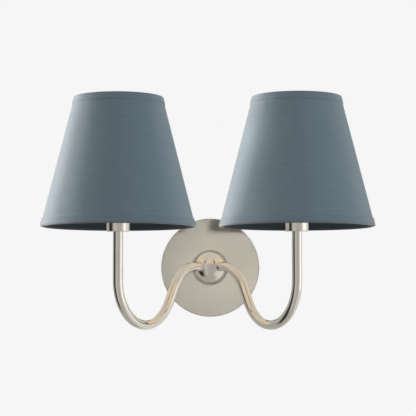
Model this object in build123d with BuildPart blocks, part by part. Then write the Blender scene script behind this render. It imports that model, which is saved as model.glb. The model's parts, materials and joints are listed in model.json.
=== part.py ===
from build123d import *
import os
from math import asin, atan, cos, degrees, radians, sin, sqrt, tan

# Double arm wall sconce, in millimetres.
# The origin is on the wall, at the centre of the backplate.
# +X runs to the viewer's right, -Y runs out of the wall into the room, +Z is up.

# ---- fits and clearances -----------------------------------------------------
thread_gap = 0.02       # radial, between two threads that are screwed up tight
running_gap = 0.05      # radial, between the bulb's cap and its holder
slip_gap = 0.1          # radial, where a tube or a screw passes through a plain hole
seat_gap = 0.2          # where the shade and the bulb rest on the fixed part
glue_gap = 0.05         # between the layers of the shade's wall
weld_gap = 0.02         # between the spider's arms and the ring that they are welded to

# ---- backplate and what holds it on the wall ------------------------------------
plate_d = 138.0         # across the backplate
plate_depth = 16.0      # from the wall to its face
plate_wall = 1.5
plate_edge = 1.4        # radius of the turned front edge
bracket_t = 2.0
bracket_width = 20.0
ear_depth = 11.5
ear_gap = 0.3           # between each ear and the inside of the backplate's rim
slot_spacing = 70.0     # between the two slots for the wall screws
slot_length = 12.0
slot_width = 5.0
cable_hole_d = 16.0
tab_width = 31.0        # tongue of the bracket that carries the terminal block
tab_top = 36.0
rim_screw_d = 4.0
rim_screw_length = 8.0
rim_screw_head_d = 7.0
rim_screw_head_h = 2.2
rim_screw_depth = 6.5   # from the wall to the screw's axis

# ---- hub: neck collar, ball, hollow stem -------------------------------------------
ball_d = 46.0
ball_wall = 3.0
ball_flat = 21.5        # from the ball's centre to the flat that seats on the collar
ball_boss_d = 15.0
ball_boss_h = 7.0
collar_h = 4.0
collar_base_d = 30.0
collar_top_d = 17.0
collar_foot = 1.2       # straight foot below the collar's hollow flank
stem_d = 10.0
stem_bore = 8.0
stem_tail = 1.0         # of stem behind the nut
washer_d = 20.0
washer_t = 1.0
nut_across = 15.0
nut_t = 3.0

# ---- terminal block and earth --------------------------------------------------------
block_width = 29.0
block_depth = 11.0
block_height = 17.0
block_low = 16.0        # from the centre line up to the block
pole_pitch = 9.0
groove_width = 2.8      # of the two grooves between the poles
groove_depth = 5.5
barrel_d = 5.0
barrel_bore = 3.6
barrel_length = 14.0
barrel_entry = 1.5      # of each wire inside its barrel
barrel_screw_d = 2.6
barrel_screw_pitch = 8.0
barrel_screw_sunk = 1.8
block_screw_d = 2.0
block_screw_head_d = 2.6
block_screw_head_h = 1.2
earth_screw_x = -22.0
earth_screw_d = 4.0
earth_head_d = 7.0
earth_head_h = 2.4
earth_tag_d = 7.6
earth_tag_t = 0.8
earth_wire_d = 2.2
earth_wire_rise = 3.0   # straight run of the wire at each of its ends
earth_wire_bend = 3.0

# ---- arms -----------------------------------------------------------------------------
tube_d = 13.0
tube_wall = 1.5
splay = 55.3            # degrees that each arm turns out of the wall's plane
arm_start = 16.0        # from the ball's centre to the arm's end inside it
stub_length = 32.0      # from the ball's centre to the first bend
shoulder_radius = 57.0
lean = 30.0             # degrees of the slope from the vertical
slope_length = 25.0
bend_radius = 57.5      # of the large bend under the lamp
cup_base = 40.5         # height of the cup's underside above the centre line
flex_d = 3.4
flex_offset = 1.9       # of each flex from the middle of the stem
flex_ball_radius = 22.0
flex_tail_run = 5.0      # from the stem and from the barrels to the flex's bends
flex_tail_radius = 3.4

# ---- lamp: cup, nipple, lampholder, ring nut ---------------------------------------------
cup_d = 29.0
cup_wall = 1.0
cup_height = 44.0
cup_edge = 1.8
nipple_bore = 7.0
nipple_engage = 10.0
base_height = 8.0
holder_d = 26.0
holder_above_cup = 8.0
holder_floor = 9.0      # thickness between the cable pocket and the bulb's bore
pocket_depth = 6.0
pocket_d = 11.0
contact_d = 7.0
shell_t = 0.5
ring_nut_d = 36.0
ring_nut_h = 5.0
ring_nut_flange = 1.4

# ---- bulb with a small screw cap -------------------------------------------------------------
cap_d = 13.9
cap_wall = 0.4
cap_length = 21.0
cap_below_rim = 0.6     # of the cap's upper end below the lampholder's rim
tip_length = 4.5
tip_low_d = 4.8
tip_top_d = 9.6
spigot_d = 6.0          # of the tip inside the cap's floor
spigot_h = 1.2
glass_d = 35.0
glass_height = 73.0     # above the cap
glass_belly = 29.0      # height of the widest place above the cap
glass_tip_r = 4.5
glass_shoulder_r = 12.0     # of the hollow curve between the neck and the belly
glass_neck_d = 12.6
glass_neck_in_cap = 5.0
glass_neck_straight = 2.0
glass_wall = 0.8

# ---- shade carrier -----------------------------------------------------------------------------
carrier_plate_d = 46.0
carrier_plate_t = 1.2
carrier_wire_d = 3.0
carrier_foot_r = 21.0   # where each upright stands on the plate
carrier_bow_r = 25.0    # where each upright passes the bulb
carrier_bow_low = 14.0
carrier_bow_high = 32.0
carrier_bend = 14.0
carrier_disc_d = 20.0
carrier_disc_t = 2.0
peg_d = 8.0
peg_h = 6.0

# ---- shade ---------------------------------------------------------------------------------------
shade_low_d = 200.0
shade_top_d = 115.0
shade_height = 167.0
cup_show = 7.0          # of the cup below the shade
cover_t = 0.8
liner_t = 0.6
trim_t = 0.9
top_trim_h = 9.0
low_trim_h = 12.0
trim_turn_in = 5.0      # of the trim on the inside of the shade
ring_wire_d = 3.0
spider_wire_d = 2.8
spider_arms = 3
spider_washer_d = 24.0
spider_washer_t = 2.8
spider_drop = 12.0      # from the top wire ring down to the washer
spider_flat_r = 18.0    # where each spider arm turns up towards the ring
spider_bend = 12.0
spider_notch = 4.0      # width of the notches in the trim's turned edge for the spider
peg_gap = 0.4           # radial, between the carrier's peg and the washer

# ---- places worked out from the sizes above --------------------------------------------------------
plate_r = plate_d / 2
ball_y = -(plate_depth + collar_h + ball_flat)
stem_front = ball_y + ball_flat - ball_boss_h
nut_back = plate_wall + washer_t + nut_t - plate_depth
stem_back = nut_back + stem_tail

barrel_y = -(bracket_t + block_depth / 2)
block_front = bracket_t + block_depth
block_middle = block_low + block_height / 2
barrel_low = block_middle - barrel_length / 2

slope_start_x = stub_length + shoulder_radius * cos(radians(lean))
slope_start_z = shoulder_radius * (sin(radians(lean)) - 1)
bend_x = slope_start_x + slope_length * sin(radians(lean)) + bend_radius * cos(radians(lean))
bend_z = slope_start_z - slope_length * cos(radians(lean)) + bend_radius * sin(radians(lean))
reach = bend_x + bend_radius
lamp_x = reach * cos(radians(splay))
lamp_y = ball_y - reach * sin(radians(splay))

base_low = cup_base + cup_wall
body_low = base_low + base_height
pocket_top = body_low + pocket_depth
bore_floor = pocket_top + holder_floor
cup_top = cup_base + cup_height
holder_top = cup_top + holder_above_cup
plate_top = cup_top + carrier_plate_t
cap_top = holder_top - cap_below_rim
cap_low = cap_top - cap_length
tip_low = cap_low - tip_length

# the arcs of the glass's outline run into each other without a kink
glass_swell = (glass_d - glass_neck_d) / 2
glass_lift = glass_belly - glass_neck_straight
flank_rise = glass_height - glass_belly - glass_tip_r
shoulder_and_belly_r = (glass_swell ** 2 + glass_lift ** 2) / (2 * glass_swell)
belly_r = shoulder_and_belly_r - glass_shoulder_r
shoulder_turn = degrees(asin(glass_lift / shoulder_and_belly_r))
flank_r = ((glass_d / 2) ** 2 + flank_rise ** 2 - glass_tip_r ** 2) / (glass_d - 2 * glass_tip_r)
flank_turn = degrees(asin(flank_rise / (flank_r - glass_tip_r)))

trim_out = glue_gap + trim_t
tilt = atan((shade_low_d - shade_top_d) / 2 / shade_height)
shade_low = cup_base + cup_show
shade_top = shade_low + shade_height
wall_r = shade_low_d / 2 - trim_out * cos(tilt)
wall_z = shade_low + trim_out * cos(tilt)
wall_length = (shade_top - wall_z - trim_out * sin(tilt)) / cos(tilt) - trim_out
inner_face = cover_t + glue_gap + liner_t
ring_inset = inner_face + glue_gap + ring_wire_d / 2
ring_rise = ring_wire_d / 2 + glue_gap
top_ring_r = wall_r - (wall_length - ring_rise) * sin(tilt) - ring_inset * cos(tilt)
top_ring_z = wall_z + (wall_length - ring_rise) * cos(tilt) - ring_inset * sin(tilt)
washer_low = top_ring_z - spider_drop
disc_top = washer_low - seat_gap

sides = {"left": -1, "right": 1}

os.makedirs("parts", exist_ok=True)


def save(part, name):
    """Label a finished piece and write it to its own file."""
    part.label = name
    export_step(part, f"parts/{name}.step")


def band(r_in, r_out, low, high):
    """A rectangle of a turned piece's profile."""
    with Locations(((r_in + r_out) / 2, (low + high) / 2)):
        Rectangle(r_out - r_in, high - low)


def wall_plane(side):
    """Plane along the slanted wall of a shade: x points out of the cover, y runs up the slope."""
    corner = (side * lamp_x + wall_r, lamp_y, wall_z)
    return Plane(origin=corner, x_dir=(cos(tilt), 0, sin(tilt)), z_dir=(0, -1, 0))


def lamp_plane(side):
    """Upright plane through a lamp's axis: x is the radius, y is the height."""
    return Plane(origin=(side * lamp_x, lamp_y, 0), x_dir=(1, 0, 0), z_dir=(0, -1, 0))


def lamp_axis(side):
    return Axis((side * lamp_x, lamp_y, 0), (0, 0, 1))


def arm_plane(side):
    """Upright plane of one arm: x runs outwards from the ball's centre, y is up."""
    outwards = Vector(side * cos(radians(splay)), -sin(radians(splay)), 0)
    return Plane(origin=(0, ball_y, 0), x_dir=outwards, z_dir=outwards.cross(Vector(0, 0, 1)))


def arm_line(side, start, end_height):
    """Centre line of one arm: stub, shoulder, slope, large bend and riser."""
    with BuildLine(arm_plane(side)) as centre:
        stub = Line((start, 0), (stub_length, 0))
        shoulder = JernArc(stub @ 1, stub % 1, shoulder_radius, lean - 90)
        slope = Line(shoulder @ 1, shoulder @ 1 + (shoulder % 1) * slope_length)
        bend = JernArc(slope @ 1, slope % 1, bend_radius, 180 - lean)
        Line(bend @ 1, bend @ 1 + (bend % 1) * (end_height - bend_z))
    return centre.line


# =====================================================================================
# On the wall
# =====================================================================================

# The bracket is a bent strap. Two slots take the wall screws, its ears take the rim
# screws of the backplate, and its tongue carries the terminal block.
ear_out = sqrt((plate_r - plate_wall) ** 2 - (bracket_width / 2) ** 2) - ear_gap
with BuildPart() as wall_bracket:
    with BuildSketch(Plane.XZ):
        Rectangle(2 * ear_out, bracket_width)
        with Locations((0, tab_top / 2)):
            Rectangle(tab_width, tab_top)
        with Locations((-slot_spacing / 2, 0), (slot_spacing / 2, 0)):
            SlotOverall(slot_length, slot_width, mode=Mode.SUBTRACT)
        Circle(cable_hole_d / 2, mode=Mode.SUBTRACT)
        with Locations((earth_screw_x, 0)):
            Circle(earth_screw_d / 2 + thread_gap, mode=Mode.SUBTRACT)
        with Locations((pole_pitch / 2, block_middle)):
            Circle(block_screw_d / 2 + thread_gap, mode=Mode.SUBTRACT)
    extrude(amount=bracket_t)
    with BuildSketch(Plane.XZ):
        with Locations((-(ear_out - bracket_t / 2), 0), (ear_out - bracket_t / 2, 0)):
            Rectangle(bracket_t, bracket_width)
    extrude(amount=ear_depth)
    outer_corners = wall_bracket.edges().filter_by(Axis.Z).group_by(Axis.Y)[-1]
    fillet(outer_corners.filter_by(lambda e: abs(e.center().X) > ear_out - bracket_t / 4), bracket_t)
    tab_ends = wall_bracket.edges().filter_by(Axis.Y).group_by(Axis.Z)[-1]
    fillet(tab_ends, bracket_t)
    with Locations((0, -rim_screw_depth, 0)):
        Cylinder(rim_screw_d / 2 + thread_gap, 2 * plate_d, rotation=(0, 90, 0), mode=Mode.SUBTRACT)
save(wall_bracket.part, "wall_bracket")

# The backplate is a shallow pan with a turned front edge.
with BuildPart() as backplate:
    with BuildSketch(Plane.XY) as pan:
        band(stem_d / 2 + slip_gap, plate_r, -plate_depth, plate_wall - plate_depth)
        band(plate_r - plate_wall, plate_r, -plate_depth, 0)
        front_edge = pan.vertices().sort_by_distance((plate_r, -plate_depth))[0]
        fillet(front_edge, plate_edge)
        inner_edge = pan.vertices().sort_by_distance((plate_r - plate_wall, plate_wall - plate_depth))[0]
        fillet(inner_edge, plate_edge)
    revolve(axis=Axis.Y)
    with Locations((0, -rim_screw_depth, 0)):
        Cylinder(rim_screw_d / 2 + slip_gap, 2 * plate_d, rotation=(0, 90, 0), mode=Mode.SUBTRACT)
save(backplate.part, "backplate")

# One screw at each side holds the rim of the backplate on the bracket's ears.
with BuildPart() as rim_screws:
    for side in sides.values():
        with BuildSketch(Plane(origin=(side * plate_r, -rim_screw_depth, 0), x_dir=(0, 1, 0), z_dir=(side, 0, 0))):
            Circle(rim_screw_head_d / 2)
        extrude(amount=rim_screw_head_h)
        with BuildSketch(Plane(origin=(side * plate_r, -rim_screw_depth, 0), x_dir=(0, 1, 0), z_dir=(-side, 0, 0))):
            Circle(rim_screw_d / 2)
        extrude(amount=rim_screw_length)
    head_rims = rim_screws.edges().filter_by(GeomType.CIRCLE)
    head_rims = head_rims.filter_by(lambda e: abs(e.center().X) > plate_r + rim_screw_head_h / 2)
    fillet(head_rims, rim_screw_head_h / 3)
save(rim_screws.part, "rim_screws")

# =====================================================================================
# Hub
# =====================================================================================

# A turned collar with a hollow flank lifts the ball off the backplate.
with BuildPart() as neck_collar:
    with BuildSketch(Plane.XY):
        with BuildLine():
            foot = Line((collar_base_d / 2, -plate_depth), (collar_base_d / 2, -plate_depth - collar_foot))
            flank = RadiusArc(foot @ 1, (collar_top_d / 2, -plate_depth - collar_h), collar_base_d / 2)
            head = Line(flank @ 1, (stem_d / 2 + slip_gap, -plate_depth - collar_h))
            bore = Line(head @ 1, (stem_d / 2 + slip_gap, -plate_depth))
            Line(bore @ 1, foot @ 0)
        make_face()
    revolve(axis=Axis.Y)
save(neck_collar.part, "neck_collar")

# The ball is hollow, so that the flexes pass from the stem into the arms. A boss
# inside its flat takes the stem's thread, and both arms are brazed into its wall.
with BuildPart() as hub_ball:
    with Locations((0, ball_y, 0)):
        Sphere(ball_d / 2)
        Sphere(ball_d / 2 - ball_wall, mode=Mode.SUBTRACT)
    with BuildSketch(Plane.XZ.offset(-ball_y - ball_flat)):
        Circle(ball_boss_d / 2)
    extrude(amount=ball_boss_h)
    with BuildSketch(Plane.XZ.offset(-ball_y - ball_flat)):
        Circle(ball_d)
    extrude(amount=-ball_d, mode=Mode.SUBTRACT)
    with BuildSketch(Plane.XZ.offset(-ball_y - ball_flat)):
        Circle(stem_d / 2 + thread_gap)
    extrude(amount=ball_flat, mode=Mode.SUBTRACT)
    for side in sides.values():
        seat = arm_plane(side)
        with BuildSketch(Plane(origin=seat.from_local_coords((arm_start, 0)), z_dir=seat.x_dir)):
            Circle(tube_d / 2)
        extrude(amount=ball_d, mode=Mode.SUBTRACT)
save(hub_ball.part, "hub_ball")

# The hollow stem, the washer and the nut clamp ball, collar and backplate together.
with BuildPart() as hub_stem:
    with BuildSketch(Plane.XZ.offset(-stem_back)):
        Circle(stem_d / 2)
        Circle(stem_bore / 2, mode=Mode.SUBTRACT)
    extrude(amount=stem_back - stem_front)
save(hub_stem.part, "hub_stem")

with BuildPart() as stem_washer:
    with BuildSketch(Plane.XZ.offset(plate_depth - plate_wall - washer_t)):
        Circle(washer_d / 2)
        Circle(stem_d / 2 + slip_gap, mode=Mode.SUBTRACT)
    extrude(amount=washer_t)
save(stem_washer.part, "stem_washer")

with BuildPart() as stem_nut:
    with BuildSketch(Plane.XZ.offset(-nut_back)):
        RegularPolygon(nut_across / 2, 6, major_radius=False)
        Circle(stem_d / 2 + thread_gap, mode=Mode.SUBTRACT)
    extrude(amount=nut_t)
save(stem_nut.part, "stem_nut")

# =====================================================================================
# Terminal block and earth
# =====================================================================================

poles = [(-pole_pitch, barrel_y), (0, barrel_y), (pole_pitch, barrel_y)]
groove_y = groove_depth / 2 - block_front
grooves = [(-pole_pitch / 2, groove_y), (pole_pitch / 2, groove_y)]
screw_grid = GridLocations(pole_pitch, barrel_screw_pitch, 3, 2)
block_face = Plane(origin=(0, -block_front, block_middle), x_dir=(1, 0, 0), z_dir=(0, -1, 0))
groove_floor = block_face.offset(-groove_depth)

with BuildPart() as terminal_block:
    with BuildSketch(Plane.XY.offset(block_low)):
        with Locations((0, barrel_y)):
            Rectangle(block_width, block_depth)
        with Locations(*grooves):
            Rectangle(groove_width, groove_depth, mode=Mode.SUBTRACT)
        with Locations(*poles):
            Circle(barrel_d / 2 + thread_gap, mode=Mode.SUBTRACT)
    extrude(amount=block_height)
    with BuildSketch(block_face):
        with screw_grid:
            Circle(barrel_screw_d / 2 + slip_gap)
    extrude(amount=-block_depth / 2, mode=Mode.SUBTRACT)
    with BuildSketch(groove_floor):
        with Locations((pole_pitch / 2, 0)):
            Circle(block_screw_d / 2 + slip_gap)
    extrude(amount=-block_depth, mode=Mode.SUBTRACT)
save(terminal_block.part, "terminal_block")

with BuildPart() as terminal_barrels:
    with BuildSketch(Plane.XY.offset(barrel_low)):
        with Locations(*poles):
            Circle(barrel_d / 2)
            Circle(barrel_bore / 2, mode=Mode.SUBTRACT)
    extrude(amount=barrel_length)
    with BuildSketch(block_face):
        with screw_grid:
            Circle(barrel_screw_d / 2 + thread_gap)
    extrude(amount=-block_depth / 2, mode=Mode.SUBTRACT)
save(terminal_barrels.part, "terminal_barrels")

with BuildPart() as terminal_screws:
    with BuildSketch(block_face.offset(-barrel_screw_sunk)):
        with screw_grid:
            Circle(barrel_screw_d / 2)
    extrude(amount=barrel_screw_sunk - block_depth / 2)
save(terminal_screws.part, "terminal_screws")

with BuildPart() as block_screw:
    with BuildSketch(groove_floor):
        with Locations((pole_pitch / 2, 0)):
            Circle(block_screw_head_d / 2)
    extrude(amount=block_screw_head_h)
    with BuildSketch(groove_floor):
        with Locations((pole_pitch / 2, 0)):
            Circle(block_screw_d / 2)
    extrude(amount=groove_depth - block_front)
save(block_screw.part, "block_screw")

# The earth screw clamps the ring tag of the earth lead on the bracket.
tag_face = Plane.XZ.offset(bracket_t + earth_tag_t)
with BuildPart() as earth_screw:
    with BuildSketch(tag_face):
        with Locations((earth_screw_x, 0)):
            Circle(earth_head_d / 2)
    extrude(amount=earth_head_h)
    fillet(earth_screw.edges().group_by(Axis.Y)[0], earth_head_h / 3)
    with BuildSketch(tag_face):
        with Locations((earth_screw_x, 0)):
            Circle(earth_screw_d / 2)
    extrude(amount=-(bracket_t + earth_tag_t))
save(earth_screw.part, "earth_screw")

wire_y = -(bracket_t + earth_wire_d / 2)
with BuildPart() as earth_lead:
    with BuildSketch(Plane.XZ.offset(bracket_t)):
        with Locations((earth_screw_x, 0)):
            Circle(earth_tag_d / 2)
        with Locations((earth_screw_x, earth_tag_d / 2)):
            Rectangle(earth_wire_d * 1.5, earth_wire_d * 1.5)
        with Locations((earth_screw_x, 0)):
            Circle(earth_screw_d / 2 + slip_gap, mode=Mode.SUBTRACT)
    extrude(amount=earth_tag_t)
    with BuildLine() as lead_route:
        FilletPolyline(
            (earth_screw_x, wire_y, earth_head_d / 2 + slip_gap),
            (earth_screw_x, wire_y, earth_head_d / 2 + earth_wire_rise),
            (-pole_pitch, barrel_y, barrel_low - earth_wire_rise - barrel_entry),
            (-pole_pitch, barrel_y, barrel_low + barrel_entry),
            radius=earth_wire_bend,
        )
    with BuildSketch(Plane(origin=lead_route.line @ 0, z_dir=lead_route.line % 0)):
        Circle(earth_wire_d / 2)
    sweep(path=lead_route.line)
save(earth_lead.part, "earth_lead")


# =====================================================================================
# Arms, with the flex inside
# =====================================================================================

def make_arm(side):
    """Bent tube from inside the ball up to the cup."""
    centre = arm_line(side, arm_start, cup_base)
    with BuildPart() as arm:
        with BuildSketch(Plane(origin=centre @ 0, z_dir=centre % 0)):
            Circle(tube_d / 2)
            Circle(tube_d / 2 - tube_wall, mode=Mode.SUBTRACT)
        sweep(path=centre)
    return arm.part


def make_flex(side):
    """Flex from the terminal block through the stem, the ball and the arm to the lampholder."""
    stem_x = side * flex_offset
    turn_y = ball_y - flex_offset * tan(radians(splay))
    pole_x = pole_pitch * (side + 1) / 2
    with BuildLine() as route:
        FilletPolyline(
            (pole_x, barrel_y, barrel_low + barrel_entry),
            (pole_x, barrel_y, barrel_low - flex_tail_run),
            (stem_x, stem_back + flex_tail_run, 0),
            (stem_x, turn_y, 0),
            arm_plane(side).from_local_coords(Vector(arm_start, 0)),
            radius=[flex_tail_radius, flex_tail_radius, flex_ball_radius],
        )
        add(arm_line(side, arm_start, pocket_top))
    with BuildPart() as flex:
        with BuildSketch(Plane(origin=route.line @ 0, z_dir=route.line % 0)):
            Circle(flex_d / 2)
        sweep(path=route.line)
    return flex.part


# =====================================================================================
# Lamps: each stands on the top end of its arm
# =====================================================================================

def make_cup(side):
    """Plain turned cup that hides the lampholder."""
    with BuildPart() as cup:
        with BuildSketch(lamp_plane(side)) as wall:
            band(stem_d / 2, cup_d / 2, cup_base, base_low)
            band(cup_d / 2 - cup_wall, cup_d / 2, cup_base, cup_top)
            fillet(wall.vertices().sort_by_distance((cup_d / 2, cup_base))[0], cup_edge)
        revolve(axis=lamp_axis(side))
    return cup.part


def make_nipple(side):
    """Threaded tube that joins the arm, the cup and the lampholder's base."""
    with BuildPart() as nipple:
        with BuildSketch(lamp_plane(side)):
            band(nipple_bore / 2, stem_d / 2 - thread_gap, cup_base - nipple_engage, body_low)
        revolve(axis=lamp_axis(side))
    return nipple.part


def make_holder_base(side):
    """Metal foot of the lampholder, screwed on the nipple inside the cup."""
    with BuildPart() as base:
        with BuildSketch(lamp_plane(side)) as section:
            band(stem_d / 2, holder_d / 2, base_low, body_low)
            chamfer(section.vertices().sort_by_distance((holder_d / 2, base_low))[0], cup_edge)
        revolve(axis=lamp_axis(side))
    return base.part


def make_holder_body(side):
    """Insulating body of the lampholder: cable pocket below, bore for the bulb above."""
    bore_r = cap_d / 2 + running_gap + shell_t + thread_gap
    with BuildPart() as body:
        with BuildSketch(lamp_plane(side)) as section:
            band(0, holder_d / 2, body_low, holder_top)
            chamfer(section.vertices().sort_by_distance((holder_d / 2, holder_top))[0], shell_t)
        revolve(axis=lamp_axis(side))
        with BuildSketch(lamp_plane(side)):
            band(0, pocket_d / 2, body_low, pocket_top)
            band(0, bore_r, bore_floor, holder_top)
        revolve(axis=lamp_axis(side), mode=Mode.SUBTRACT)
    return body.part


def make_screw_shell(side):
    """Brass lining of the bore, which the bulb's cap screws into."""
    inner = cap_d / 2 + running_gap
    with BuildPart() as shell:
        with BuildSketch(lamp_plane(side)):
            band(inner, inner + shell_t, cap_low - 2 * shell_t, cap_top)
            band(inner - 2 * shell_t, inner + shell_t, cap_low - 2 * shell_t, cap_low - shell_t)
        revolve(axis=lamp_axis(side))
    return shell.part


def make_centre_contact(side):
    """Brass contact on the floor of the bore."""
    with BuildPart() as contact:
        with BuildSketch(lamp_plane(side)) as section:
            band(0, contact_d / 2, bore_floor, tip_low - seat_gap)
            fillet(section.vertices().sort_by_distance((contact_d / 2, tip_low))[0], shell_t)
        revolve(axis=lamp_axis(side))
    return contact.part


def make_ring_nut(side):
    """Flanged ring nut that clamps the shade carrier on the lampholder's thread."""
    inner = holder_d / 2 + thread_gap
    with BuildPart() as nut:
        with BuildSketch(lamp_plane(side)) as section:
            band(inner, ring_nut_d / 2, plate_top, plate_top + ring_nut_flange)
            band(inner, ring_nut_d / 2 - ring_nut_flange, plate_top, plate_top + ring_nut_h)
            top_corner = (ring_nut_d / 2 - ring_nut_flange, plate_top + ring_nut_h)
            chamfer(section.vertices().sort_by_distance(top_corner)[0], shell_t)
        revolve(axis=lamp_axis(side))
    return nut.part


def make_carrier(side):
    """Wire carrier: plate on the cup, two uprights round the bulb, disc and peg on top."""
    foot_z = plate_top - carrier_plate_t / 2
    with BuildPart() as carrier:
        for turn in (-1, 1):
            with BuildLine(lamp_plane(side)) as upright:
                FilletPolyline(
                    (turn * carrier_foot_r, foot_z),
                    (turn * carrier_bow_r, plate_top + carrier_bow_low),
                    (turn * carrier_bow_r, disc_top - carrier_bow_high),
                    (turn * (carrier_disc_d / 2 - carrier_wire_d), disc_top - carrier_disc_t / 2),
                    radius=carrier_bend,
                )
            with BuildSketch(Plane(origin=upright.line @ 0, z_dir=upright.line % 0)):
                Circle(carrier_wire_d / 2)
            sweep(path=upright.line)
        with BuildSketch(Plane.XY.offset(cup_top)):
            with Locations((side * lamp_x, lamp_y)):
                Circle(carrier_plate_d)
        extrude(amount=-carrier_plate_t, mode=Mode.SUBTRACT)
        with BuildSketch(lamp_plane(side)) as section:
            band(holder_d / 2 + slip_gap, carrier_plate_d / 2, cup_top, plate_top)
            band(0, carrier_disc_d / 2, disc_top - carrier_disc_t, disc_top)
            band(0, peg_d / 2, disc_top, disc_top + peg_h)
            fillet(section.vertices().sort_by_distance((peg_d / 2, disc_top + peg_h))[0], peg_d / 4)
        revolve(axis=lamp_axis(side))
    return carrier.part


# =====================================================================================
# Bulbs: glass and cap turn, the tip only rises and falls
# =====================================================================================

def make_bulb_tip(side):
    """Insulator and contact under the cap, with a spigot in the cap's floor."""
    with BuildPart() as tip:
        with BuildSketch(lamp_plane(side)):
            with BuildLine():
                Polyline((0, tip_low), (tip_low_d / 2, tip_low), (tip_top_d / 2, cap_low), (0, cap_low), close=True)
            make_face()
            band(0, spigot_d / 2, cap_low, cap_low + spigot_h)
        revolve(axis=lamp_axis(side))
    return tip.part


def make_bulb_cap(side):
    """Thin metal screw cap with a hole in its floor for the tip's spigot."""
    with BuildPart() as cap:
        with BuildSketch(lamp_plane(side)):
            band(cap_d / 2 - cap_wall, cap_d / 2, cap_low, cap_top)
            band(spigot_d / 2 + running_gap, cap_d / 2, cap_low, cap_low + cap_wall)
        revolve(axis=lamp_axis(side))
    return cap.part


def make_bulb_glass(side):
    """Frosted candle-shaped glass, blown thin, open where it is cemented into the cap."""
    low = cap_top - glass_neck_in_cap
    with BuildPart() as glass:
        with BuildSketch(lamp_plane(side)):
            with BuildLine():
                neck = Line((glass_neck_d / 2, low), (glass_neck_d / 2, cap_top + glass_neck_straight))
                shoulder = JernArc(neck @ 1, (0, 1), glass_shoulder_r, -shoulder_turn)
                belly = JernArc(shoulder @ 1, shoulder % 1, belly_r, shoulder_turn)
                flank = JernArc(belly @ 1, (0, 1), flank_r, flank_turn)
                tip = JernArc(flank @ 1, flank % 1, glass_tip_r, 90 - flank_turn)
                Polyline(tip @ 1, (0, low), neck @ 0)
            make_face()
        revolve(axis=lamp_axis(side))
        offset(amount=-glass_wall, openings=glass.faces().sort_by(Axis.Z)[0])
    return glass.part


# =====================================================================================
# Shades: cover, liner, two wire rings, spider and two folded trims
# =====================================================================================

def make_wall(side, depth_out, depth_in):
    """One layer of the shade's wall, between two depths behind the cover's outer face."""
    with BuildPart() as layer:
        with BuildSketch(wall_plane(side)):
            band(-depth_in, -depth_out, 0, wall_length)
        revolve(axis=lamp_axis(side))
    return layer.part


def make_trim(side, edge, run, height):
    """Tape folded round an edge of the wall and its wire: edge is where, run is +1 or -1 along the wall."""
    back = ring_inset + ring_wire_d / 2 + glue_gap
    fold = edge - run * glue_gap
    corner = fold - run * trim_t
    with BuildPart() as trim:
        with BuildSketch(wall_plane(side)) as section:
            band(glue_gap, trim_out, min(corner, edge + run * height), max(corner, edge + run * height))
            band(-back - trim_t, -back, min(corner, edge + run * trim_turn_in), max(corner, edge + run * trim_turn_in))
            band(-back - trim_t, trim_out, min(corner, fold), max(corner, fold))
            fillet(section.vertices().sort_by_distance((trim_out, corner))[0], trim_t * 0.9)
            fillet(section.vertices().sort_by_distance((-back - trim_t, corner))[0], trim_t * 0.9)
        revolve(axis=lamp_axis(side))
    return trim.part


def make_top_trim(side):
    """Top trim, notched on the inside where the spider's arms reach the ring."""
    trim = make_trim(side, wall_length, -1, top_trim_h)
    with BuildPart() as notched:
        add(trim)
        with Locations((side * lamp_x, lamp_y, top_ring_z + 1 - trim_turn_in)):
            with PolarLocations(top_ring_r - trim_turn_in / 2, spider_arms, 90):
                Box(trim_turn_in, spider_notch, 2 * trim_turn_in, mode=Mode.SUBTRACT)
    return notched.part


def make_low_ring(side):
    """Wire ring inside the lower edge."""
    with BuildPart() as ring:
        with BuildSketch(wall_plane(side)):
            with Locations((-ring_inset, ring_rise)):
                Circle(ring_wire_d / 2)
        revolve(axis=lamp_axis(side))
    return ring.part


def make_top_ring(side):
    """Wire ring inside the upper edge."""
    with BuildPart() as ring:
        with BuildSketch(wall_plane(side)):
            with Locations((-ring_inset, wall_length - ring_rise)):
                Circle(ring_wire_d / 2)
        revolve(axis=lamp_axis(side))
    return ring.part


def make_spider(side):
    """Washer that sits on the carrier's peg, and the arms that are welded to the top ring."""
    washer_z = washer_low + spider_washer_t / 2
    with BuildPart() as spider:
        with BuildSketch(lamp_plane(side)):
            band(peg_d / 2 + peg_gap, spider_washer_d / 2, washer_low, washer_low + spider_washer_t)
        revolve(axis=lamp_axis(side))
        for count in range(spider_arms):
            turn = radians(90 + count * 360 / spider_arms)
            upright = Plane(
                origin=(side * lamp_x, lamp_y, 0),
                x_dir=(cos(turn), sin(turn), 0),
                z_dir=(sin(turn), -cos(turn), 0),
            )
            with BuildLine(upright) as spoke:
                FilletPolyline(
                    (spider_washer_d / 2 - spider_wire_d / 2, washer_z),
                    (spider_flat_r, washer_z),
                    (top_ring_r, top_ring_z),
                    radius=spider_bend,
                )
            with BuildSketch(Plane(origin=spoke.line @ 0, z_dir=spoke.line % 0)):
                Circle(spider_wire_d / 2)
            sweep(path=spoke.line)
        with BuildSketch(wall_plane(side)):
            with Locations((-ring_inset, wall_length - ring_rise)):
                Circle(ring_wire_d / 2 + weld_gap)
        revolve(axis=lamp_axis(side), mode=Mode.SUBTRACT)
    return spider.part


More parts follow.
